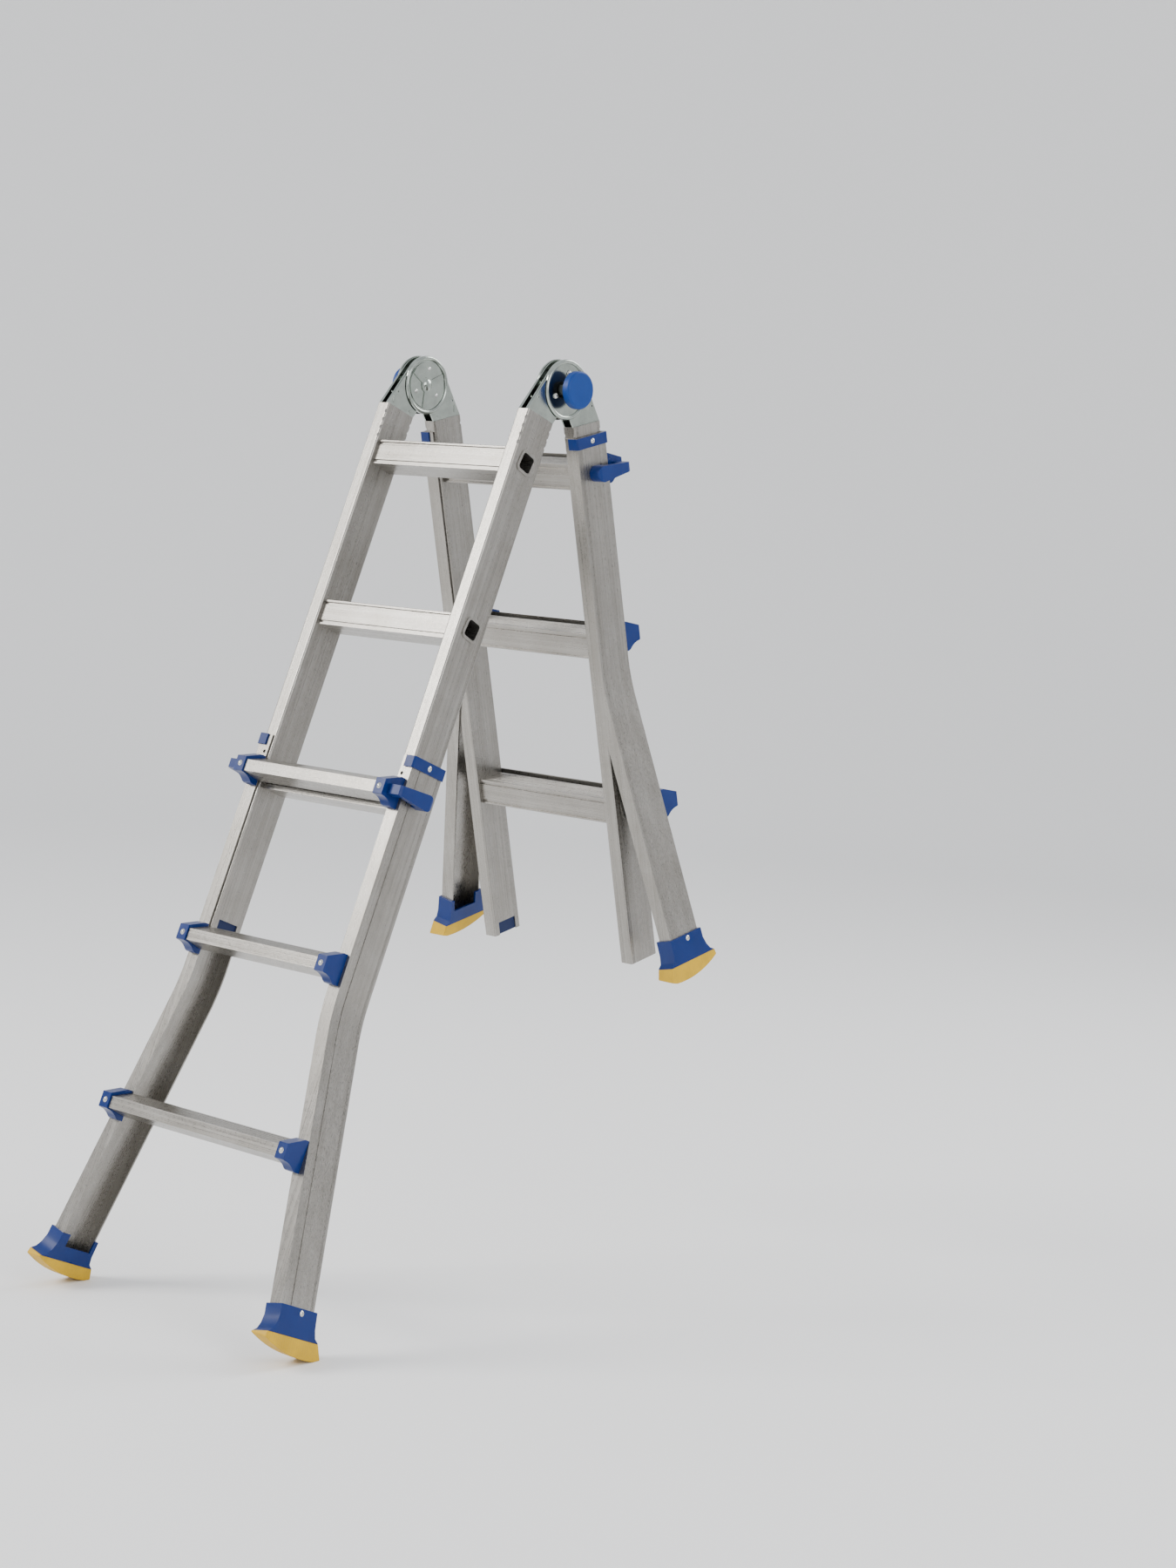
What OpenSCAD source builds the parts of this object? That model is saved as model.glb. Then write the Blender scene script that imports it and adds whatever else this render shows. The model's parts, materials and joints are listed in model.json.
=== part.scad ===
// Multi-position telescopic ladder. Two inner sections meet at a pair of locking
// hinges, and a flared outer section slides on each of them.
// Millimetres, +Z up. The floor under the front feet is Z = 0, and the origin is
// the middle of the object's footprint box.
//
// Every piece of a section is drawn in the section's own frame: X along the rungs,
// Y outward from the hinge plane, and Z up the stile from the hinge axis, so a
// place s down the stile is at Z = -s. front() and rear() then stand the section up.

/* [Stance] */
// Lean of the front legs from upright, degrees
front_lean = 20.5; // [17:0.1:24]
// Lean of the rear legs from upright, degrees
rear_lean = 14.4; // [10:0.1:18]
// Rung pitches that the front outer section is drawn out
front_steps = 2; // [0:1:2]

/* [Rungs] */
// Distance between rungs along the stile
rung_pitch = 280; // [270:1:290]
// Distance from the hinge axis to the first rung
first_rung = 142; // [138:1:150]
// Depth of the inner rungs
inner_rung_depth = 48; // [44:1:52]
// Horizontal tread depth of the outer rungs
outer_rung_depth = 36; // [32:1:38]

/* [Inner sections] */
// Width over the two inner stiles
inner_width = 340; // [320:2:380]
// Depth of an inner stile
stile_depth = 62; // [60:0.5:64]
// Thickness of an inner stile
stile_thick = 25; // [24:0.5:26]
// Wall of an inner stile
stile_wall = 2.2; // [2:0.1:2.4]
// Gap from the hinge plane to an inner stile
stile_offset = 6; // [6:0.5:8]

/* [Outer sections] */
// Wall of the outer channel
channel_wall = 2.5; // [2.2:0.1:2.8]
// Angle that the feet flare outward
flare = 12; // [10:0.5:13]
// Radius of the bend where the flare starts
bend_radius = 340; // [300:10:400]

/* [Hinges] */
// Radius of the hinge head
head_r = 48; // [46:0.5:49]
// Thickness of the pressed hinge plates
plate = 2.5; // [2.2:0.1:2.6]
// Radius of the palm knob
knob_r = 30; // [26:0.5:32]

/* [Hidden] */
$fn = 48;

ALLOY = [0.80, 0.79, 0.76];
STEEL = [0.72, 0.76, 0.74];
BLUE = [0.02, 0.20, 0.52];
DARK_BLUE = [0.03, 0.08, 0.25];
YELLOW = [0.86, 0.64, 0.02];
DARK = [0.20, 0.22, 0.24];
eps = 0.5;                     // how far a cutter runs past the face that it opens

// inner stiles: closed box sections
stile_out = inner_width / 2;
stile_in = stile_out - stile_thick;
stile_x = (stile_out + stile_in) / 2;
stile_back = stile_offset;
stile_front = stile_offset + stile_depth;
stile_n = (stile_back + stile_front) / 2;
stile_top = 62;
stile_end = 966;
corner_r = 3;
groove = 0.4;
window_height = 22;
window_depth = 40;

// inner rungs: the tread sits a little high on its socket
rung_top = 18;
rung_bottom = 24;
rung_wall = 2;
socket = [30, 31];
socket_tilt = 8;
lip = 1.5;

// outer channel: it wraps the inner stile and clears the rolled rung ends
slide_gap = 0.5;
web_gap = 2.5;
channel_back = stile_back - slide_gap - channel_wall;
channel_front = stile_front + slide_gap + channel_wall;
web_in = stile_out + web_gap;
web_out = web_in + channel_wall;
channel_in = web_out - 25;
facet_n = stile_n + 15;
facet_drop = 0.8;
channel_top = 80;
bend_start = 454;
bend_x = stile_x + bend_radius;
flare_length = 432;            // from the end of the bend to the end of the channel

// outer rungs: a hollow trapezoid in front of the channel
rung_back = channel_front;
rung_nose = channel_front + outer_rung_depth;
rung_end = 164;
nose_top = 8;
nose_bottom = -10.5;
heel_top = nose_top + outer_rung_depth * tan(20.5);
heel_bottom = -16.5;
// how far the flare has moved the stiles outward at the third rung
third_rung_shift = bend_radius * (1 - cos(flare))
    + (first_rung + 2 * rung_pitch - bend_start - bend_radius * sin(flare)) * tan(flare);

// rung brackets
bracket_in = 149;
bracket_out = 169;
bracket_nose = rung_nose + 3;
screw_x = 158.5;
screw_r = 2;

// lock handles: rod in the rung, arm round the channel, pin in the web
rod_r = 6;
rod_n = rung_back + 21;
rod_tip = 112;
pin_r = 10;
arm_in = web_out + 11;
arm_out = arm_in + 11;
fit = 0.05;                    // radial clearance of the running fits
lock_travel = 20;

// guide clips
clip_top = channel_top;
clip_height = 18;
clip_plate = 3;
clip_n = 37;

// feet, drawn as if the channel ran straight on past the bend
shoe_top = 396;
shoe_line = 439;
shoe_in = channel_in - 3.5;
shoe_out = web_out + 3.5;
shoe_front = channel_front + 4;
shoe_back = channel_back - 4;
toe_n = 96;
heel_n = channel_back - 16;
sole_r = 196;
sole_n = 13.5;
sole_s = 781.2;
land = 5.7;                    // how far the flat under the heel cuts into the tread's circle
toe_s = sole_s + sqrt(pow(sole_r, 2) - pow(toe_n - sole_n, 2));
shoe_rivet_r = 2.4;

// hinges, drawn at the right-hand side
cheek_in = stile_in + stile_wall;
cheek_out = stile_out - stile_wall;
leaf_in = cheek_in + plate + 0.5;
leaf_out = cheek_out - plate - 0.5;
leaf_end = 125;
leaf_back = stile_back + stile_wall + 1;
leaf_front = stile_front - stile_wall - 1;
pivot_r = 8;
pivot_bore = 4.5;
rim_r = 44.5;
rim_bead = 3.5;
cover_r = 38;
cover_rise = 3;
rivet_circle = 27;
rivet_angles = [80, 200, 320];
spindle_r = 4.4;
knob_in = cheek_out + 19;
knob_out = knob_in + 13;
stem_r = 13;
stem_bore = 9.5;
stem_in = cheek_out + 9;

// the front outer section is drawn out by whole rungs
front_drop = front_steps * rung_pitch;
hinge_z = cos(front_lean) * (sole_s + front_drop) - sin(front_lean) * sole_n
    + sole_r - land;
front_reach = sin(front_lean) * (toe_s + front_drop) + cos(front_lean) * toe_n;
rear_reach = sin(rear_lean) * toe_s + cos(rear_lean) * toe_n;
hinge_y = (front_reach - rear_reach) / 2;

// ---- placing -------------------------------------------------------------

module front() {
    translate([0, hinge_y, hinge_z])
        rotate([-front_lean, 0, 0])
            mirror([0, 1, 0]) children();
}

module rear() {
    translate([0, hinge_y, hinge_z])
        rotate([rear_lean, 0, 0]) children();
}

module front_outer() {
    front() translate([0, 0, -front_drop]) children();
}

// side 1 is the right-hand side, side -1 its mirror image
module on_side(side) {
    mirror([side < 0 ? 1 : 0, 0, 0]) children();
}

module both_sides() {
    for (side = [-1, 1]) on_side(side) children();
}

module at_rung(i) {
    translate([0, 0, -first_rung - i * rung_pitch]) children();
}

// a shape in (Y, Z) drawn out along X from x0 to x1
module along_x(x0, x1) {
    translate([x0, 0, 0]) rotate([90, 0, 90]) linear_extrude(x1 - x0) children();
}

module rod_x(x0, x1, r) {
    translate([x0, 0, 0]) rotate([0, 90, 0]) cylinder(r = r, h = x1 - x0);
}

module rod_y(y0, y1, r) {
    translate([0, y1, 0]) rotate([90, 0, 0]) cylinder(r = r, h = y1 - y0);
}

// carries a straight run on along the flare, past the bend
module flared() {
    translate([bend_x, 0, -bend_start]) rotate([0, -flare, 0])
        translate([-bend_x, 0, bend_start]) children();
}

module rounded(size, r) {
    square([size.x, size.y - 2 * r], center = true);
    square([size.x - 2 * r, size.y], center = true);
    for (x = [-1, 1], y = [-1, 1])
        translate([x * (size.x / 2 - r), y * (size.y / 2 - r)]) circle(r);
}

// a domed head whose flat face is at Z = 0
module dome(r, h) {
    ball = (r * r + h * h) / (2 * h);
    rotate_extrude() intersection() {
        translate([0, h - ball]) circle(ball);
        square([r, h]);
    }
}

module dome_x(x, r, h) {
    translate([x, 0, 0]) rotate([0, 90, 0]) dome(r, h);
}

// ---- inner sections ------------------------------------------------------

module socket_shape(margin) {
    translate([stile_n, 0]) rotate(socket_tilt)
        rounded([socket.x + 2 * margin, socket.y + 2 * margin], 7 + margin);
}

// rows of dimples that crimp the stile on to the hinge
module crimps() {
    for (s = [76:14:118], x = [-1, 1], n = [-1, 1])
        translate([stile_x + x * stile_thick / 2, stile_n + n * stile_depth / 2, -s])
            rotate([0, 90, atan2(n, x)]) cylinder(r = 3, h = 5, center = true, $fn = 16);
}

module inner_stile() {
    color(ALLOY) difference() {
        translate([stile_x, stile_n, -stile_end])
            linear_extrude(stile_end - stile_top) difference() {
                rounded([stile_thick, stile_depth], corner_r);
                rounded([stile_thick - 2 * stile_wall, stile_depth - 2 * stile_wall], 1);
                for (n = [5, 7.5]) translate([stile_thick / 2, n - stile_depth / 2])
                    square([2 * groove, 0.8], center = true);
            }
        for (i = [0:2]) at_rung(i) along_x(stile_in - eps, stile_out + eps) socket_shape(0);
        crimps();
        translate([stile_in - eps, stile_n - window_depth / 2, -stile_end - eps])
            cube([stile_wall + 2 * eps, window_depth, window_height + eps]);
    }
}

module stile_plug() {
    plug_length = 30;
    color(DARK_BLUE) translate([stile_x, stile_n, -stile_end + 0.5])
        linear_extrude(plug_length)
            rounded([stile_thick - 2 * stile_wall, stile_depth - 2 * stile_wall], 1);
}

// half of the inner rung's outline: lip, groove, face, groove and lower lip
module inner_rung_outline() {
    half = inner_rung_depth / 2;
    side_points = [
        [half, rung_top - 0.6], [half, rung_top - 3.7], [half - 3, rung_top - 4.2],
        [half - 3, rung_top - 7.6], [half - 0.8, rung_top - 8.2],
        [half - 0.8, 1.5 - rung_top], [half - 3.2, 1 - rung_top],
        [half - 3.2, 3.2 - rung_bottom], [half - 0.6, 2.8 - rung_bottom],
        [half - 0.6, -rung_bottom]
    ];
    difference() {
        translate([stile_n, 0]) polygon(concat(
            [[0, -rung_bottom], [0, rung_top], [half - 0.6, rung_top]], side_points));
        tread_grooves();
    }
}

module tread_grooves() {
    for (i = [0:3]) translate([stile_n + 2.5 + i * 5, rung_top])
        square([2, 1.4], center = true);
}

module inner_rung_bore() {
    half = inner_rung_depth / 2;
    translate([stile_n - half + 5.5, -rung_bottom + rung_wall])
        square([inner_rung_depth - 11, rung_top + rung_bottom - 2 * rung_wall - 0.8]);
}

module inner_rung(i) {
    color(ALLOY) at_rung(i) difference() {
        union() {
            along_x(-stile_in, stile_in) {
                inner_rung_outline();
                translate([2 * stile_n, 0]) mirror([1, 0]) inner_rung_outline();
            }
            both_sides() {
                along_x(stile_in, stile_out) socket_shape(0);
                along_x(stile_out, stile_out + lip) socket_shape(2.5);
            }
        }
        along_x(-stile_in + 3, stile_in - 3) inner_rung_bore();
        along_x(-stile_out - lip - eps, stile_out + lip + eps) socket_shape(-2.2);
    }
}

// ---- outer sections ------------------------------------------------------

// where the bend carries the line at x: a point (X, Z) on it, at an angle round the
// bend, and how far past its end
function along_bend(x, angle, past) = let (r = bend_x - x) [
    bend_x - r * cos(angle) + past * sin(angle),
    -bend_start - r * sin(angle) - past * cos(angle)
];

// one edge of a strip that follows the stile from its top to its foot
function bent_edge(x, top, foot) = let (steps = 10) concat(
    [[x, -top]],
    [for (i = [0:steps]) along_bend(x, flare * i / steps, 0)],
    [along_bend(x, flare, foot)]
);

function turned(points) = [for (i = [len(points) - 1:-1:0]) points[i]];

// the solid between the lines at x0 and x1, from n0 to n1 across the stile
module strip(x0, x1, n0, n1, top, foot) {
    translate([0, n1, 0]) rotate([90, 0, 0]) linear_extrude(n1 - n0)
        polygon(concat(bent_edge(x0, top, foot), turned(bent_edge(x1, top, foot))));
}

// an open channel, ribbed inside its web, grooved outside and stepped near the front
module channel_run() {
    rib = 0.4;
    difference() {
        union() {
            difference() {
                strip(channel_in, web_out, channel_back, channel_front,
                    channel_top, flare_length);
                strip(channel_in - 5, web_in, channel_back + channel_wall,
                    channel_front - channel_wall, channel_top - 1, flare_length + 1);
            }
            for (n = [17, 21.5, 26]) strip(web_in - rib, web_in + 1, channel_back + n,
                channel_back + n + 1.2, channel_top + 1, flare_length - 1);
        }
        for (n = [5.1, 7.6]) strip(web_out - groove, web_out + 1, channel_back + n,
            channel_back + n + 0.8, channel_top - 1, flare_length + 1);
        strip(web_out - facet_drop, web_out + 1, facet_n, channel_front + 1,
            channel_top - 1, flare_length + 1);
    }
}

module outer_stile(rivet_n) {
    witness_hole_r = 3;
    color(ALLOY) difference() {
        channel_run();
        at_rung(0) translate([0, stile_n, 0]) rod_x(web_in - 2, web_out + eps, pin_r + fit);
        translate([157, 0, 33 - first_rung])
            rod_y(channel_front - channel_wall - eps, channel_front + eps, witness_hole_r);
        at_clip_rivet() rod_x(web_in - 1, web_out + eps, shoe_rivet_r + fit);
        at_shoe_rivet(rivet_n) rod_x(web_in - 1, web_out + eps, shoe_rivet_r + fit);
    }
}

module at_clip_rivet() {
    translate([0, clip_n, -clip_top - clip_height / 2]) children();
}

module at_shoe_rivet(rivet_n) {
    flared() translate([0, rivet_n, -bend_start - shoe_top - 7]) children();
}

function outer_rung_points(wall) = [
    [rung_back + wall, heel_bottom + 1.1 * wall], [rung_back + wall, heel_top - 1.5 * wall],
    [rung_nose - wall, nose_top - 0.7 * wall], [rung_nose - wall, nose_bottom + 0.8 * wall]
];

// number of grip grooves along the tread of an outer rung
tread_ribs = 5;

module outer_rung_outline() {
    slope = atan2(heel_top - nose_top, outer_rung_depth);
    tread = norm([heel_top - nose_top, outer_rung_depth]);
    difference() {
        polygon(outer_rung_points(0));
        translate([rung_nose, nose_top]) rotate(-slope)
            for (i = [1:tread_ribs]) translate([-i * tread / (tread_ribs + 1), 0])
                square([1.8, 1.2], center = true);
    }
}

module outer_rung(i) {
    half = rung_end + (i == 2 ? third_rung_shift : 0);
    screw = screw_x + half - rung_end;
    color(ALLOY) at_rung(i) difference() {
        along_x(-half, half) outer_rung_outline();
        along_x(-half - eps, half + eps) polygon(outer_rung_points(rung_wall));
        for (x = [-screw, screw]) translate([x, 0, 0])
            rod_y(rung_nose - 2 * rung_wall, rung_nose + eps, screw_r + fit);
    }
}

// the bracket's side: a cap over the rung and a corbel that sweeps back to the stile
module bracket_outline() {
    corbel_r = 32;
    foot_n = rung_back + 10;
    foot_bottom = -24.5;
    difference() {
        polygon([
            [rung_back, heel_top + 3.5], [rung_back + 8, heel_top + 3.5],
            [bracket_nose, nose_top + 4], [bracket_nose, nose_bottom - 1.5],
            [foot_n, foot_bottom], [rung_back, foot_bottom]
        ]);
        translate([foot_n + 27, foot_bottom - 20.5]) circle(corbel_r, $fn = 96);
    }
}

module rung_bracket(i) {
    color(BLUE) at_rung(i) translate([i == 2 ? third_rung_shift : 0, 0, 0])
        difference() {
            along_x(bracket_in, bracket_out) bracket_outline();
            along_x(bracket_in - eps, rung_end) polygon(outer_rung_points(0));
            translate([screw_x, 0, 0])
                rod_y(rung_nose - eps, bracket_nose + eps, screw_r + fit);
            if (i == 0) translate([0, rod_n, 0])
                rod_x(rung_end - eps, bracket_out + eps, rod_r + fit);
        }
}

module bracket_screw(i) {
    head_h = 2.4;
    color(STEEL) at_rung(i)
        translate([screw_x + (i == 2 ? third_rung_shift : 0), 0, 0]) {
            rod_y(rung_nose - 2 * rung_wall, bracket_nose, screw_r);
            difference() {
                translate([0, bracket_nose, 0]) rotate([-90, 0, 0]) dome(4.8, head_h);
                for (turn = [0, 90]) translate([0, bracket_nose + head_h, 0])
                    rotate([0, turn, 0]) cube([4.4, 2.4, 1], center = true);
            }
        }
}

module brackets() {
    for (i = [0:2]) both_sides() rung_bracket(i);
}

module bracket_screws() {
    for (i = [0:2]) both_sides() bracket_screw(i);
}

// the guide clip caps the channel's top end and hooks over both flanges
module guide_clip() {
    hook_in = web_out - 17;
    back = channel_back - 2;
    front_face = channel_front + clip_plate;
    color(BLUE) difference() {
        translate([0, 0, -clip_top - clip_height]) linear_extrude(clip_height)
            difference() {
                polygon([
                    [hook_in, back], [web_out + clip_plate - 2, back],
                    [web_out + clip_plate, back + 2], [web_out + clip_plate, front_face - 3],
                    [web_out + clip_plate - 3, front_face], [hook_in, front_face]
                ]);
                polygon([
                    [hook_in - eps, channel_back], [web_out, channel_back],
                    [web_out, facet_n], [web_out - facet_drop, facet_n],
                    [web_out - facet_drop, channel_front], [hook_in - eps, channel_front]
                ]);
            }
        at_clip_rivet() rod_x(web_out - eps, web_out + clip_plate + eps, shoe_rivet_r + fit);
    }
}

module rivet(x_in, x_out) {
    color(STEEL) {
        rod_x(x_in, x_out, shoe_rivet_r);
        difference() {
            dome_x(x_out, 4.6, 2);
            rod_x(x_out + 0.8, x_out + 3, 1.5);
        }
    }
}

// ---- feet ----------------------------------------------------------------

module shoe(rivet_n) {
    arm_front = 16;
    notch_height = 20;
    color(BLUE) flared() translate([0, 0, -bend_start]) difference() {
        along_x(shoe_in, shoe_out) polygon([
            [shoe_front, -shoe_top], [shoe_front, 27 - shoe_line],
            [shoe_front + 4, 14 - shoe_line], [shoe_front + 10, 5 - shoe_line],
            [toe_n - 3, -shoe_line], [heel_n, -shoe_line],
            [heel_n + 8, 6 - shoe_line], [shoe_back - 1, 18 - shoe_line],
            [shoe_back, -shoe_top]
        ]);
        translate([channel_in, channel_back, -flare_length])
            cube([web_out - channel_in, channel_front - channel_back, flare_length]);
        translate([shoe_in - eps, channel_back + 3, -shoe_top - notch_height])
            cube([channel_in - shoe_in + 2 * eps,
                channel_front - channel_back - arm_front, notch_height + eps]);
        translate([0, rivet_n, -shoe_top - 7])
            rod_x(web_out - eps, shoe_out + eps, shoe_rivet_r + fit);
    }
}

// the sole's tread is one arc along the walking direction, with a flat to stand on
module sole() {
    color(YELLOW) intersection() {
        flared() along_x(shoe_in, shoe_out) polygon([
            [toe_n + 20, -bend_start - shoe_line], [toe_n + 20, -bend_start - shoe_line - 80],
            [heel_n - 32, -bend_start - shoe_line - 80], [heel_n, -bend_start - shoe_line]
        ]);
        along_x(shoe_in - 20, shoe_out + 140) difference() {
            translate([sole_n, -sole_s]) circle(sole_r, $fn = 180);
            translate([sole_n, -sole_s]) rotate(-front_lean)
                translate([-sole_r, -2 * sole_r + land]) square([2 * sole_r, sole_r]);
            polygon([
                [toe_n - 10, 60 - toe_s], [toe_n, -toe_s],
                [toe_n, -toe_s - 50], [toe_n + 90, -toe_s - 50], [toe_n + 90, 60 - toe_s]
            ]);
        }
    }
}

// ---- lock handles --------------------------------------------------------

// seen along the stile: a boss, an arm round the channel and a block over the pin
module lock_plan() {
    boss_in = bracket_out + 0.3;
    pin_block = web_out + 0.5;
    intersection() {
        union() {
            translate([arm_in, stile_n - pin_r - 3])
                square([arm_out - arm_in, rod_n + 8 - stile_n + pin_r + 3]);
            translate([boss_in, rod_n - 7]) square([arm_out - boss_in, 15]);
            translate([pin_block, stile_n - pin_r - 3]) square([arm_out - pin_block, 25]);
        }
        translate([(arm_out + 140) / 2, (stile_n + rod_n - 5) / 2])
            rounded([arm_out - 140, rod_n - stile_n + 8 + pin_r + 11], 12);
    }
}

// seen from the side: the arm widens toward the round block over the pin
module lock_side() {
    block_r = 13;
    translate([stile_n, 0]) circle(block_r);
    polygon([
        [stile_n, block_r], [rod_n + 8, 7.5], [rod_n + 8, -7.5], [stile_n, -block_r]
    ]);
}

module lock_handle() {
    color(BLUE) at_rung(0) {
        intersection() {
            translate([0, 0, -15]) linear_extrude(30) lock_plan();
            along_x(140, arm_out + 1) lock_side();
        }
        translate([0, stile_n, 0]) rod_x(web_in - 0.1, arm_in, pin_r);
        translate([0, rod_n, 0]) {
            rod_x(rod_tip, arm_in, rod_r);
            rod_x(rod_tip, rod_tip + 3, 9);
        }
    }
}

// a coil spring drawn as the sleeve of its turns
module spring(x0, x1, r, wire, turns) {
    pitch = (x1 - x0) / turns;
    color(STEEL) translate([x0, 0, 0]) rotate([0, 90, 0]) rotate_extrude() {
        for (i = [0:turns - 1]) translate([r, (i + 0.5) * pitch]) circle(wire, $fn = 16);
        translate([r - wire / 4, 0]) square([wire / 2, x1 - x0]);
    }
}

module lock_spring() {
    at_rung(0) translate([0, rod_n, 0]) spring(rod_tip + 3, rung_end, 7.7, 1.1, 14);
}

// ---- hinges --------------------------------------------------------------

// the flank between the hinge head and the stile's top, in (Y, Z)
module leaf_flank() {
    polygon([
        [0.5, -0.5], [head_r, -0.5], [stile_front, -stile_top],
        [stile_back, -stile_top], [0.5, -head_r + 2]
    ]);
}

module leaf_tang() {
    translate([leaf_back, -leaf_end])
        square([leaf_front - leaf_back, leaf_end - stile_top + 2]);
}

// the point where a line from p touches a circle of radius r about the origin
function touch_point(p, r, side) =
    let (a = atan2(p.y, p.x) + side * acos(r / norm(p))) r * [cos(a), sin(a)];

module leaf_head() {
    head = head_r - 1;
    front_corner = [stile_front, -stile_top];
    circle(head, $fn = 96);
    polygon([
        [0, 0], touch_point(front_corner, head, 1), front_corner,
        [stile_back, -stile_top], [0.5, -head + 1]
    ]);
}

// raised marks pressed into the flank's outside, which faces -X
module flank_embosses(x) {
    translate([x, 58, -50]) rotate([-12, 0, 0]) along_x(-0.7, 0) rounded([4, 13], 1.9);
    translate([x, 17, -55]) rod_x(-0.7, 0, 1.8);
}

module flank_holes() {
    translate([0, 54, -36]) rod_x(cheek_in - 2, cheek_out + 2, 1.7);
}

// front leaf: two plates between the cheeks, thickened beside them
module hinge_leaf() {
    clear_r = head_r + 1.3;
    color(STEEL) difference() {
        union() {
            for (x = [leaf_in, leaf_out - plate]) along_x(x, x + plate) {
                leaf_head();
                leaf_tang();
            }
            for (ends = [[cheek_in, leaf_in], [leaf_out, cheek_out]])
                along_x(ends[0], ends[1]) difference() {
                    union() {
                        leaf_flank();
                        leaf_tang();
                    }
                    circle(clear_r, $fn = 96);
                }
            flank_embosses(cheek_in);
        }
        rod_x(cheek_in - 1, cheek_out + 1, pivot_r + fit);
        flank_holes();
    }
}

// the toothed disc between the leaf's plates, which the knob's lock works on
module lock_disc() {
    teeth = 12;
    color(STEEL) difference() {
        rod_x(leaf_in + plate, leaf_out - plate, 38);
        rod_x(leaf_in, leaf_out, pivot_r + fit);
        for (i = [0:teeth - 1]) rotate([i * 360 / teeth, 0, 0])
            translate([leaf_in, -3, 34]) cube([leaf_out - leaf_in, 6, 10]);
    }
}

module cheek(x0, x1) {
    along_x(x0, x1) {
        circle(head_r, $fn = 96);
        leaf_flank();
        leaf_tang();
    }
}

module rim(x) {
    translate([x, 0, 0]) rotate([0, 90, 0]) rotate_extrude($fn = 96)
        translate([rim_r, 0]) circle(rim_bead, $fn = 24);
}

// rear leaf: two pressed cheeks with a rolled rim, outside the front leaf
module hinge_cheeks() {
    color(STEEL) difference() {
        union() {
            cheek(cheek_in, cheek_in + plate);
            cheek(cheek_out - plate, cheek_out);
            difference() {
                union() {
                    rim(cheek_in);
                    rim(cheek_out);
                }
                rod_x(cheek_in + plate, cheek_out - plate, head_r + 2);
            }
            flank_embosses(cheek_in);
        }
        rod_x(cheek_in - 4, cheek_out + 4, pivot_r + fit / 2);
        flank_holes();
        at_rivets() rod_x(cheek_in - 4, cheek_out + 4, 2 + fit / 2);
    }
}

module at_rivets() {
    for (a = rivet_angles) rotate([-a, 0, 0]) translate([0, 0, -rivet_circle]) children();
}

// pressed cover on the inner side: three raised spokes between sunk panels
module hinge_cover() {
    spoke = 10;
    base = 1.4;
    color(STEEL) difference() {
        union() {
            rod_x(cheek_in - base, cheek_in, cover_r);
            intersection() {
                rod_x(cheek_in - cover_rise, cheek_in, cover_r);
                union() {
                    for (a = rivet_angles) rotate([60 - a, 0, 0])
                        translate([cheek_in - cover_rise, -spoke / 2, -cover_r])
                            cube([cover_rise, spoke, cover_r]);
                    rod_x(cheek_in - cover_rise, cheek_in, 13);
                }
            }
        }
        rod_x(cheek_in - 4, cheek_in + 1, pivot_r + fit / 2);
        at_rivets() rod_x(cheek_in - 4, cheek_in + 1, 2 + fit / 2);
    }
}

module hinge_pivot() {
    head_in = cheek_in - cover_rise;
    color(STEEL) difference() {
        union() {
            rod_x(head_in, cheek_out, pivot_r);
            mirror([1, 0, 0]) dome_x(-head_in, 9.5, 3);
        }
        rod_x(cheek_in + 3, cheek_out + 1, pivot_bore);
    }
}

module hinge_rivet_set() {
    color(STEEL) at_rivets() {
        rod_x(cheek_in - 1.4, cheek_in + plate, 2);
        mirror([1, 0, 0]) dome_x(-cheek_in + 1.4, 3.6, 1.8);
        rod_x(cheek_out - plate, cheek_out, 2);
        dome_x(cheek_out, 4.5, 4);
    }
}

module knob() {
    edge = 4;
    color(BLUE) translate([knob_in, 0, 0]) rotate([0, 90, 0]) rotate_extrude($fn = 72)
        intersection() {
            square([knob_r, knob_out - knob_in]);
            union() {
                square([knob_r - edge, knob_out - knob_in]);
                square([knob_r, knob_out - knob_in - edge]);
                translate([knob_r - edge, knob_out - knob_in - edge]) circle(edge);
            }
        }
}

module knob_stem() {
    spindle_tip = cheek_out - 9;
    color(DARK) {
        difference() {
            rod_x(stem_in, knob_in, stem_r);
            rod_x(stem_in - 1, knob_in - 2, stem_bore);
        }
        rod_x(spindle_tip, knob_in, spindle_r);
    }
}

module knob_spring() {
    spring(cheek_out, knob_in - 2, 7, 1, 6);
}

// ---- nodes ---------------------------------------------------------------

front() on_side(-1) inner_stile();  // front_left_inner_stile
front() inner_stile();  // front_right_inner_stile
front() inner_rung(0);  // front_inner_rung_1
front() inner_rung(1);  // front_inner_rung_2
front() inner_rung(2);  // front_inner_rung_3
front() both_sides() stile_plug();  // front_stile_plugs
front() on_side(-1) hinge_leaf();  // left_hinge_leaf
front() hinge_leaf();  // right_hinge_leaf
front() both_sides() lock_disc();  // hinge_lock_discs

rear() on_side(-1) inner_stile();  // rear_left_inner_stile
rear() inner_stile();  // rear_right_inner_stile
rear() inner_rung(0);  // rear_inner_rung_1
rear() inner_rung(1);  // rear_inner_rung_2
rear() inner_rung(2);  // rear_inner_rung_3
rear() both_sides() stile_plug();  // rear_stile_plugs
rear() on_side(-1) hinge_cheeks();  // left_hinge_cheeks
rear() hinge_cheeks();  // right_hinge_cheeks
rear() both_sides() hinge_pivot();  // hinge_pivots
rear() both_sides() hinge_cover();  // hinge_covers
rear() both_sides() hinge_rivet_set();  // hinge_rivets

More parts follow.
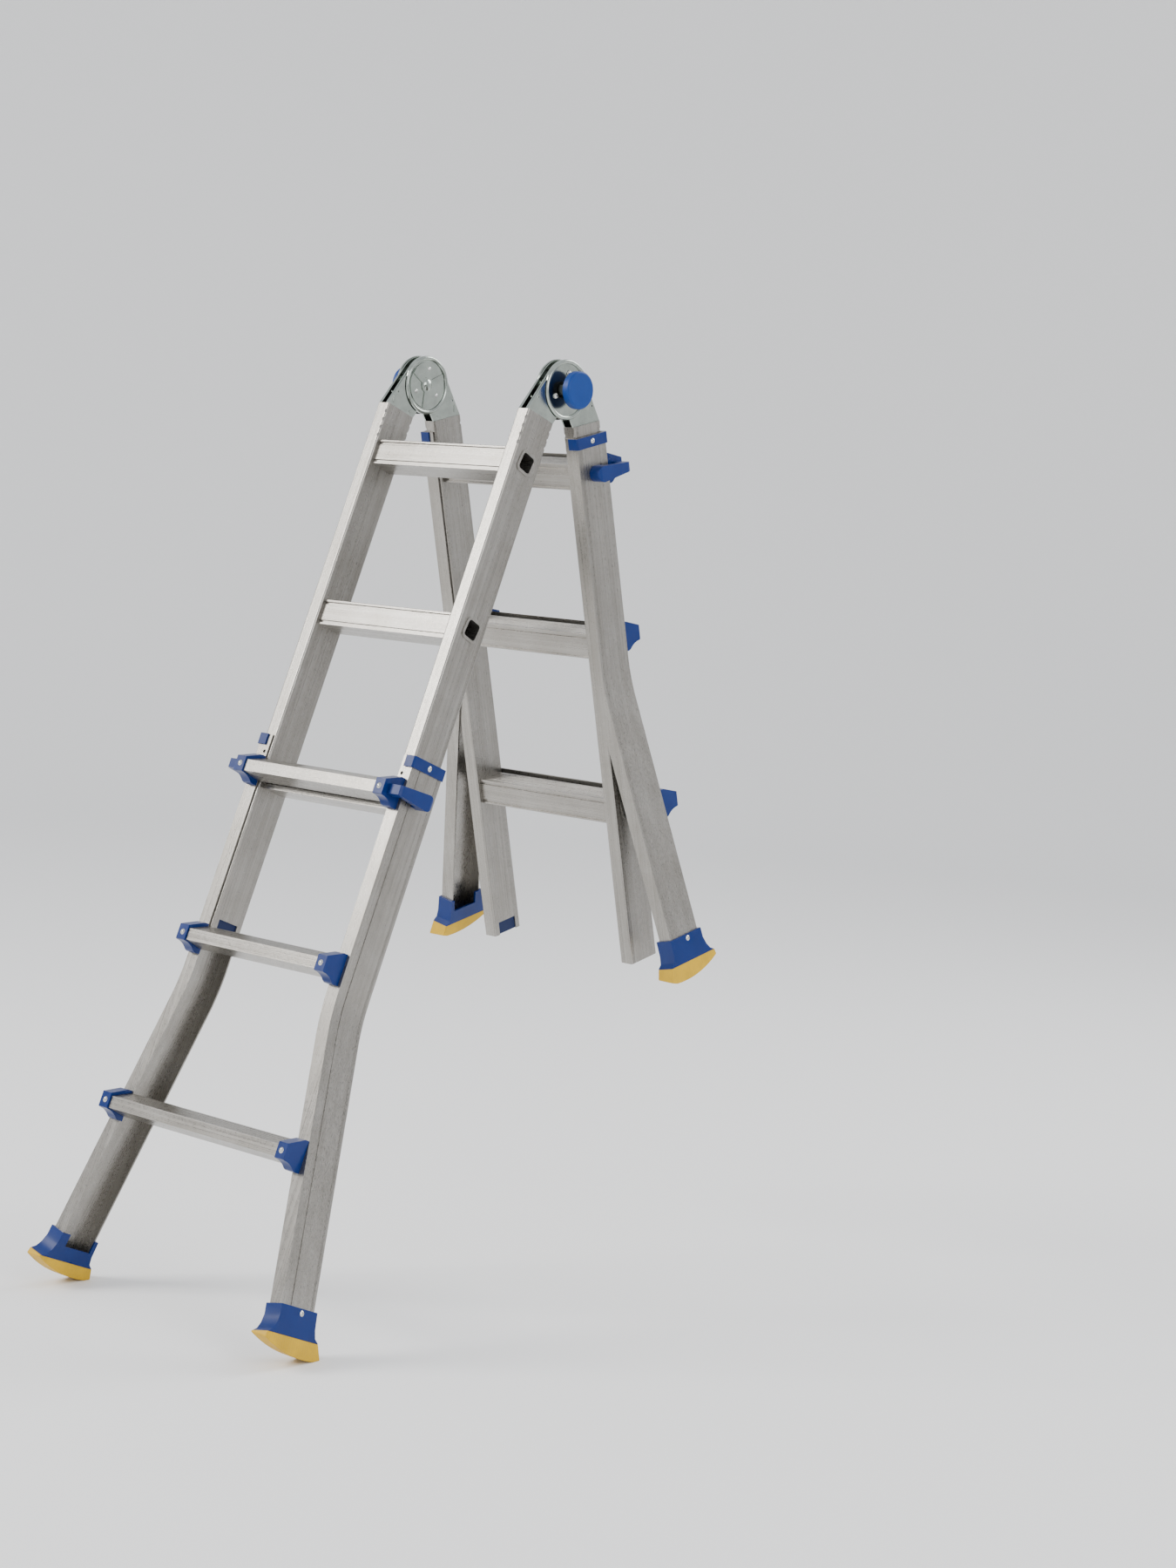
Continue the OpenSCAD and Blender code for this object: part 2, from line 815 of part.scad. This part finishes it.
front_outer() on_side(-1) outer_stile(front_rivet_n[0]);  // front_left_outer_stile
front_outer() outer_stile(front_rivet_n[1]);  // front_right_outer_stile
front_outer() outer_rung(0);  // front_outer_rung_1
front_outer() outer_rung(1);  // front_outer_rung_2
front_outer() outer_rung(2);  // front_outer_rung_3
front_outer() brackets();  // front_rung_brackets
front_outer() both_sides() guide_clip();  // front_guide_clips
front_outer() on_side(-1) shoe(front_rivet_n[0]);  // front_left_shoe
front_outer() shoe(front_rivet_n[1]);  // front_right_shoe
front_outer() on_side(-1) sole();  // front_left_sole
front_outer() sole();  // front_right_sole
front_outer() bracket_screws();  // front_bracket_screws
front_outer() rivets(front_rivet_n);  // front_rivets

rear() on_side(-1) outer_stile(rear_rivet_n[0]);  // rear_left_outer_stile
rear() outer_stile(rear_rivet_n[1]);  // rear_right_outer_stile
rear() outer_rung(0);  // rear_outer_rung_1
rear() outer_rung(1);  // rear_outer_rung_2
rear() outer_rung(2);  // rear_outer_rung_3
rear() brackets();  // rear_rung_brackets
rear() both_sides() guide_clip();  // rear_guide_clips
rear() on_side(-1) shoe(rear_rivet_n[0]);  // rear_left_shoe
rear() shoe(rear_rivet_n[1]);  // rear_right_shoe
rear() on_side(-1) sole();  // rear_left_sole
rear() sole();  // rear_right_sole
rear() bracket_screws();  // rear_bracket_screws
rear() rivets(rear_rivet_n);  // rear_rivets

front_outer() on_side(-1) lock_handle();  // front_left_lock
front_outer() lock_handle();  // front_right_lock
rear() on_side(-1) lock_handle();  // rear_left_lock
rear() lock_handle();  // rear_right_lock
front_outer() on_side(-1) lock_spring();  // front_left_lock_spring
front_outer() lock_spring();  // front_right_lock_spring
rear() on_side(-1) lock_spring();  // rear_left_lock_spring
rear() lock_spring();  // rear_right_lock_spring
rear() on_side(-1) knob();  // left_knob
rear() knob();  // right_knob
rear() on_side(-1) knob_stem();  // left_knob_stem
rear() knob_stem();  // right_knob_stem
rear() on_side(-1) knob_spring();  // left_knob_spring
rear() knob_spring();  // right_knob_spring

// where each shoe's rivet sits across the web, left then right
front_rivet_n = [40, 31];
rear_rivet_n = [31, 40];

// rivets of the guide clips and shoes of one outer section
module rivets(rivet_n) {
    both_sides() at_clip_rivet() rivet(web_in, web_out + clip_plate);
    on_side(-1) at_shoe_rivet(rivet_n[0]) rivet(web_in, shoe_out);
    at_shoe_rivet(rivet_n[1]) rivet(web_in, shoe_out);
}
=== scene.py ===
import json
import math

import bmesh
import bpy
from mathutils import Matrix, Vector


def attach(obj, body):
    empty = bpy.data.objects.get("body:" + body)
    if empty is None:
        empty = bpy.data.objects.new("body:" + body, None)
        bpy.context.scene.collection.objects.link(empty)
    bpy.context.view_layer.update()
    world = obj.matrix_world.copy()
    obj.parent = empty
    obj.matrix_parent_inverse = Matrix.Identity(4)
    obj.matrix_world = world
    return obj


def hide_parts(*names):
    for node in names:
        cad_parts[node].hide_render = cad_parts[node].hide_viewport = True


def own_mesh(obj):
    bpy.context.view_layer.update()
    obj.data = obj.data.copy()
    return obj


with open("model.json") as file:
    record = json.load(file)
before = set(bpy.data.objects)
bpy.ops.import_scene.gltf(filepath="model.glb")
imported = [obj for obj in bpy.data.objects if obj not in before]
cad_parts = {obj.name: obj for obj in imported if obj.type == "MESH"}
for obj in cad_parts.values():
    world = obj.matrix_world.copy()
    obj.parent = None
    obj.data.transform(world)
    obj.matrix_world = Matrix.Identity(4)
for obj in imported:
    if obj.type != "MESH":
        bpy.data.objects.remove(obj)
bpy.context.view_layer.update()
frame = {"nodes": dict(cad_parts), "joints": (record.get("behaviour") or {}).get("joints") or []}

joints = {j["name"]: j for j in frame["joints"]}
hinge = Vector(joints["main_hinge"]["pos_m"])
# how far each section leans, from the way its outer section slides
front_axis = joints["front_extension"]["axis"]
rear_axis = joints["rear_extension"]["axis"]
front_turn = -math.atan2(-front_axis[1], -front_axis[2])
rear_turn = math.atan2(rear_axis[1], -rear_axis[2])

# ---- camera --------------------------------------------------------------
cam_data = bpy.data.cameras.new("camera")
cam = bpy.data.objects.new("camera", cam_data)
bpy.context.scene.collection.objects.link(cam)
bpy.context.scene.camera = cam
cam_data.sensor_width = 36.0
cam_data.lens = 69.11
cam_data.shift_y = -0.0833
cam.location = hinge + Vector((3.4148, -3.4956, -0.1571))
yaw, pitch, roll = math.radians(42.16), math.radians(-3.08), math.radians(3.69)
ahead = Vector((
    -math.sin(yaw) * math.cos(pitch), math.cos(yaw) * math.cos(pitch), math.sin(pitch)))
side = Vector((math.cos(yaw), math.sin(yaw), 0.0))
up = side.cross(ahead)
tilted_side = side * math.cos(roll) + up * math.sin(roll)
tilted_up = up * math.cos(roll) - side * math.sin(roll)
cam.rotation_euler = Matrix((tilted_side, tilted_up, -ahead)).transposed().to_euler()


# ---- materials -----------------------------------------------------------
def new_material(name):
    """A material, its node tree and its Principled shader."""
    mat = bpy.data.materials.new(name)
    mat.use_nodes = True
    tree = mat.node_tree
    return mat, tree, tree.nodes["Principled BSDF"]


def add(tree, kind, **values):
    """A node with its properties or, where a key is an input's name, that input set."""
    node = tree.nodes.new(kind)
    for key, value in values.items():
        if hasattr(node, key):
            setattr(node, key, value)
        else:
            node.inputs[key.replace("_", " ")].default_value = value
    return node


def section_coordinates(tree, turn, stretch):
    """Coordinates that lie along a section of the ladder, stretched by the three numbers."""
    place = add(tree, "ShaderNodeTexCoord")
    fit = add(tree, "ShaderNodeMapping", vector_type="TEXTURE")
    fit.inputs["Location"].default_value = hinge
    fit.inputs["Rotation"].default_value = (turn, 0.0, 0.0)
    fit.inputs["Scale"].default_value = stretch
    tree.links.new(place.outputs["Object"], fit.inputs["Vector"])
    return fit.outputs["Vector"]


def noise(tree, vector, scale, detail=4.0, roughness=0.55):
    node = add(tree, "ShaderNodeTexNoise", Scale=scale, Detail=detail, Roughness=roughness)
    tree.links.new(vector, node.inputs["Vector"])
    return node.outputs["Fac"]


def spread(tree, value, low, high, start=0.3, end=0.7):
    """A value from 0 to 1 carried to low to high."""
    node = add(tree, "ShaderNodeMapRange")
    node.inputs["From Min"].default_value = start
    node.inputs["From Max"].default_value = end
    node.inputs["To Min"].default_value = low
    node.inputs["To Max"].default_value = high
    tree.links.new(value, node.inputs["Value"])
    return node.outputs["Result"]


def ramp(tree, value, stops):
    """A value carried to a colour between the stops, each a (position, colour)."""
    node = add(tree, "ShaderNodeValToRGB")
    band = node.color_ramp
    for element, (position, color) in zip(band.elements, stops):
        element.position, element.color = position, (*color, 1)
    tree.links.new(value, node.inputs["Fac"])
    return node.outputs["Color"]


def multiply(tree, color, shade, amount):
    """A colour darkened by a shade, by that amount."""
    node = add(tree, "ShaderNodeMix", data_type="RGBA", blend_type="MULTIPLY")
    node.inputs["Factor"].default_value = amount
    tree.links.new(color, node.inputs[6])
    tree.links.new(shade, node.inputs[7])
    return node.outputs[2]


def bump(tree, shader, height, strength, distance, below=None):
    """Gives the shader a bumpy normal, on top of the one below, and returns it."""
    node = add(tree, "ShaderNodeBump", Strength=strength, Distance=distance)
    tree.links.new(height, node.inputs["Height"])
    if below is not None:
        tree.links.new(below, node.inputs["Normal"])
    tree.links.new(node.outputs["Normal"], shader.inputs["Normal"])
    return node.outputs["Normal"]


def alloy(name, turn, along):
    """Extruded alloy: fine lines along one axis of the section, soft blotches and scuffs."""
    mat, tree, shader = new_material(name)
    fine = [0.0011, 0.0011, 0.0011]
    fine[along] = 0.35
    broad = [0.012, 0.012, 0.012]
    broad[along] = 0.5
    lines = noise(tree, section_coordinates(tree, turn, fine), 1.0, 3.0)
    bands = noise(tree, section_coordinates(tree, turn, broad), 1.0, 5.0)
    blotch = noise(tree, section_coordinates(tree, turn, (1, 1, 1)), 14.0, 6.0, 0.65)
    scuff = noise(tree, section_coordinates(tree, turn, (1, 1, 1)), 160.0, 8.0, 0.7)
    tint = ramp(tree, bands, [(0.3, (0.315, 0.30, 0.275)), (0.7, (0.385, 0.37, 0.345))])
    streak = ramp(tree, lines, [(0.35, (0.72, 0.72, 0.72)), (0.65, (1.0, 1.0, 1.0))])
    dirt = ramp(tree, blotch, [(0.35, (0.86, 0.85, 0.83)), (0.62, (1.0, 1.0, 1.0))])
    color = multiply(tree, multiply(tree, tint, streak, 0.55), dirt, 0.8)
    tree.links.new(color, shader.inputs["Base Color"])
    shader.inputs["Metallic"].default_value = 0.92
    rough = add(tree, "ShaderNodeMath", operation="ADD")
    tree.links.new(spread(tree, lines, 0.22, 0.36), rough.inputs[0])
    tree.links.new(spread(tree, scuff, -0.04, 0.07), rough.inputs[1])
    tree.links.new(rough.outputs[0], shader.inputs["Roughness"])
    under = bump(tree, shader, lines, 0.22, 0.0004)
    bump(tree, shader, scuff, 0.08, 0.0005, under)
    return mat


def plated(name, tint, low, high):
    """Zinc plate: a slight cloudiness, faint rub marks and a fine orange peel."""
    mat, tree, shader = new_material(name)
    same = section_coordinates(tree, rear_turn, (1, 1, 1))
    cloud = noise(tree, same, 55.0, 5.0)
    rub = noise(tree, section_coordinates(tree, rear_turn, (1.0, 0.06, 0.012)), 30.0, 4.0)
    peel = noise(tree, same, 700.0, 2.0)
    dark = tuple(c * 0.78 for c in tint)
    tree.links.new(ramp(tree, cloud, [(0.3, dark), (0.65, tint)]), shader.inputs["Base Color"])
    shader.inputs["Metallic"].default_value = 1.0
    tree.links.new(spread(tree, rub, low, high), shader.inputs["Roughness"])
    under = bump(tree, shader, rub, 0.06, 0.0006)
    bump(tree, shader, peel, 0.05, 0.0003, under)
    return mat


def moulded(name, tint, low, high):
    """Moulded plastic: even colour, faint flow marks and a fine moulded skin."""
    mat, tree, shader = new_material(name)
    same = section_coordinates(tree, front_turn, (1, 1, 1))
    flow = noise(tree, same, 22.0, 4.0, 0.6)
    skin = noise(tree, same, 900.0, 3.0)
    dust = noise(tree, same, 260.0, 6.0, 0.7)
    pale = tuple(min(1.0, c * 1.2 + 0.001) for c in tint)
    body = ramp(tree, flow, [(0.3, tint), (0.7, pale)])
    speck = ramp(tree, dust, [(0.3, (0.82, 0.84, 0.88)), (0.55, (1.0, 1.0, 1.0))])
    tree.links.new(multiply(tree, body, speck, 0.6), shader.inputs["Base Color"])
    tree.links.new(spread(tree, flow, low, high), shader.inputs["Roughness"])
    shader.inputs["Specular IOR Level"].default_value = 0.28
    bump(tree, shader, skin, 0.12, 0.0004)
    return mat


def ribbed_rubber(name, tint):
    """Rubber of the soles: fine ribs across the tread and a dusty, matt skin."""
    mat, tree, shader = new_material(name)
    across = section_coordinates(tree, front_turn, (1, 1, 1))
    waves = add(tree, "ShaderNodeTexWave", wave_type="BANDS", bands_direction="Y",
                wave_profile="SIN", Scale=70.0, Distortion=0.0)
    tree.links.new(across, waves.inputs["Vector"])
    dust = noise(tree, across, 180.0, 6.0, 0.7)
    blotch = noise(tree, across, 26.0, 4.0)
    dark = tuple(c * 0.8 for c in tint)
    body = ramp(tree, blotch, [(0.3, dark), (0.6, tint)])
    shade = ramp(tree, dust, [(0.3, (0.88, 0.86, 0.8)), (0.6, (1.0, 1.0, 1.0))])
    tree.links.new(multiply(tree, body, shade, 0.7), shader.inputs["Base Color"])
    tree.links.new(spread(tree, dust, 0.5, 0.68), shader.inputs["Roughness"])
    under = bump(tree, shader, waves.outputs["Fac"], 0.25, 0.0006)
    bump(tree, shader, dust, 0.1, 0.0004, under)
    return mat


UP, ACROSS = 2, 0              # the axis that the extrusion's lines run along
front_stile_alloy = alloy("front_stile_alloy", front_turn, UP)
rear_stile_alloy = alloy("rear_stile_alloy", rear_turn, UP)
front_rung_alloy = alloy("front_rung_alloy", front_turn, ACROSS)
rear_rung_alloy = alloy("rear_rung_alloy", rear_turn, ACROSS)
zinc = plated("zinc_plate", (0.42, 0.46, 0.42), 0.10, 0.22)
rivet_steel = plated("rivet_steel", (0.62, 0.62, 0.60), 0.16, 0.28)
dish_steel = plated("dish_steel", (0.25, 0.27, 0.26), 0.12, 0.24)
wire_steel = plated("wire_steel", (0.45, 0.46, 0.47), 0.3, 0.42)
blue = moulded("blue_plastic", (0.0, 0.016, 0.115), 0.26, 0.38)
knob_blue = moulded("knob_blue_plastic", (0.0, 0.033, 0.19), 0.34, 0.48)
dark_blue = moulded("dark_blue_plastic", (0.003, 0.012, 0.06), 0.45, 0.6)
black = moulded("black_plastic", (0.012, 0.013, 0.015), 0.4, 0.55)
rubber = ribbed_rubber("yellow_rubber", (0.62, 0.37, 0.0))


def finish_of(name):
    """(material, width in metres of the rounding on the node's edges)"""
    front = name.startswith("front")
    if "stile" in name and "plug" not in name:
        return (front_stile_alloy if front else rear_stile_alloy), 0.0005
    if "rung" in name and "bracket" not in name:
        return (front_rung_alloy if front else rear_rung_alloy), 0.0005
    if name.endswith("sole"):
        return rubber, 0.0012
    if "plug" in name:
        return dark_blue, 0.0005
    if "stem" in name:
        return black, 0.0004
    if name.endswith("_knob"):
        return knob_blue, 0.0006
    if "shoe" in name:
        return blue, 0.0013
    if "bracket_screws" in name or "rivets" in name:
        return rivet_steel, 0.0002
    if "brackets" in name:
        return blue, 0.0009
    if "clips" in name:
        return blue, 0.0008
    if name.endswith("_lock"):
        return blue, 0.0042
    if "spring" in name:
        return wire_steel, 0.0001
    if "lock_discs" in name:
        return dish_steel, 0.0003
    return zinc, 0.0004


PLAIN_ROUNDING = 0.002         # edges rounder than this, in metres, get more segments
WELD_GAP = 0.00001
FLAT_ANGLE = math.radians(0.6)
SHARP_ANGLE = math.radians(32)

for name, node in frame["nodes"].items():
    mat, rounding = finish_of(name)
    node.data.materials.clear()
    node.data.materials.append(mat)
    node.data.polygons.foreach_set("use_smooth", [True] * len(node.data.polygons))
    weld = node.modifiers.new("weld", "WELD")
    weld.merge_threshold = WELD_GAP
    flat = node.modifiers.new("flat", "DECIMATE")
    flat.decimate_type = "DISSOLVE"
    flat.angle_limit = FLAT_ANGLE
    edges = node.modifiers.new("edges", "BEVEL")
    edges.width = rounding
    edges.segments = 2 if rounding < PLAIN_ROUNDING else 5
    edges.limit_method = "ANGLE"
    edges.angle_limit = SHARP_ANGLE
    shading = node.modifiers.new("shading", "WEIGHTED_NORMAL")
    shading.weight = 60

# ---- springs copied onto their moving bodies -----------------------------
def shortening_spring(node_name, joint_name):
    """A copy of a spring, attached to the joint's moving body; the spring itself is hidden."""
    coil = bpy.data.objects.new(node_name + "_coil", frame["nodes"][node_name].data.copy())
    bpy.context.scene.collection.objects.link(coil)
    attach(coil, joints[joint_name]["child"])
    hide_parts(node_name)
    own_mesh(coil)


for hand in ("left", "right"):
    shortening_spring(f"{hand}_knob_spring", f"{hand}_knob_press")
    for section in ("front", "rear"):
        lock = f"{section}_{hand}_lock"
        shortening_spring(f"{lock}_spring", f"{lock}_pull")

# ---- floor and light -----------------------------------------------------
FLAT, CURVE = 6.2, 2.2         # radius of the flat floor and of its upward sweep


def floor_profile():
    """(radius, height) from the middle of the floor to the top of its rim."""
    yield from ((FLAT * i / 6, 0.0) for i in range(7))
    for i in range(1, 13):
        a = math.radians(7.5 * i)
        yield FLAT + CURVE * math.sin(a), CURVE * (1 - math.cos(a))
    yield FLAT + CURVE, CURVE + 2.5


def swept_floor():
    mesh = bpy.data.meshes.new("floor")
    shape = bmesh.new()
    turns = 64
    rings = [
        [shape.verts.new((r * math.cos(a), r * math.sin(a), z))
         for a in (math.tau * k / turns for k in range(turns))]
        for r, z in list(floor_profile())[1:]
    ]
    shape.faces.new(rings[0])
    for low, high in zip(rings, rings[1:]):
        for k in range(turns):
            shape.faces.new((low[k], low[(k + 1) % turns], high[(k + 1) % turns], high[k]))
    bmesh.ops.recalc_face_normals(shape, faces=shape.faces)
    shape.to_mesh(mesh)
    shape.free()
    mesh.polygons.foreach_set("use_smooth", [True] * len(mesh.polygons))
    floor = bpy.data.objects.new("floor", mesh)
    bpy.context.scene.collection.objects.link(floor)
    mat, tree, shader = new_material("pale_floor")
    shader.inputs["Base Color"].default_value = (0.88, 0.88, 0.875, 1)
    shader.inputs["Roughness"].default_value = 0.75
    mesh.materials.append(mat)


def softbox(name, place, size, power, tint=(1, 1, 1)):
    light = bpy.data.lights.new(name, "AREA")
    light.size, light.energy, light.color = size, power, tint
    lamp = bpy.data.objects.new(name, light)
    bpy.context.scene.collection.objects.link(lamp)
    lamp.location = place
    aim = Vector((0, 0, 0.75)) - lamp.location
    lamp.rotation_euler = aim.to_track_quat("-Z", "Y").to_euler()


swept_floor()
softbox("key_light", Vector((-2.6, -3.4, 3.4)), 2.0, 230, (1.0, 0.98, 0.95))
softbox("fill_light", Vector((4.2, -0.6, 2.6)), 2.2, 70)
softbox("back_light", Vector((1.0, 3.6, 3.6)), 2.2, 110)

world = bpy.data.worlds.new("world")
bpy.context.scene.world = world
world.use_nodes = True
sky = world.node_tree.nodes["Background"]
sky.inputs["Color"].default_value = (0.93, 0.95, 1.0, 1)
sky.inputs["Strength"].default_value = 1.0
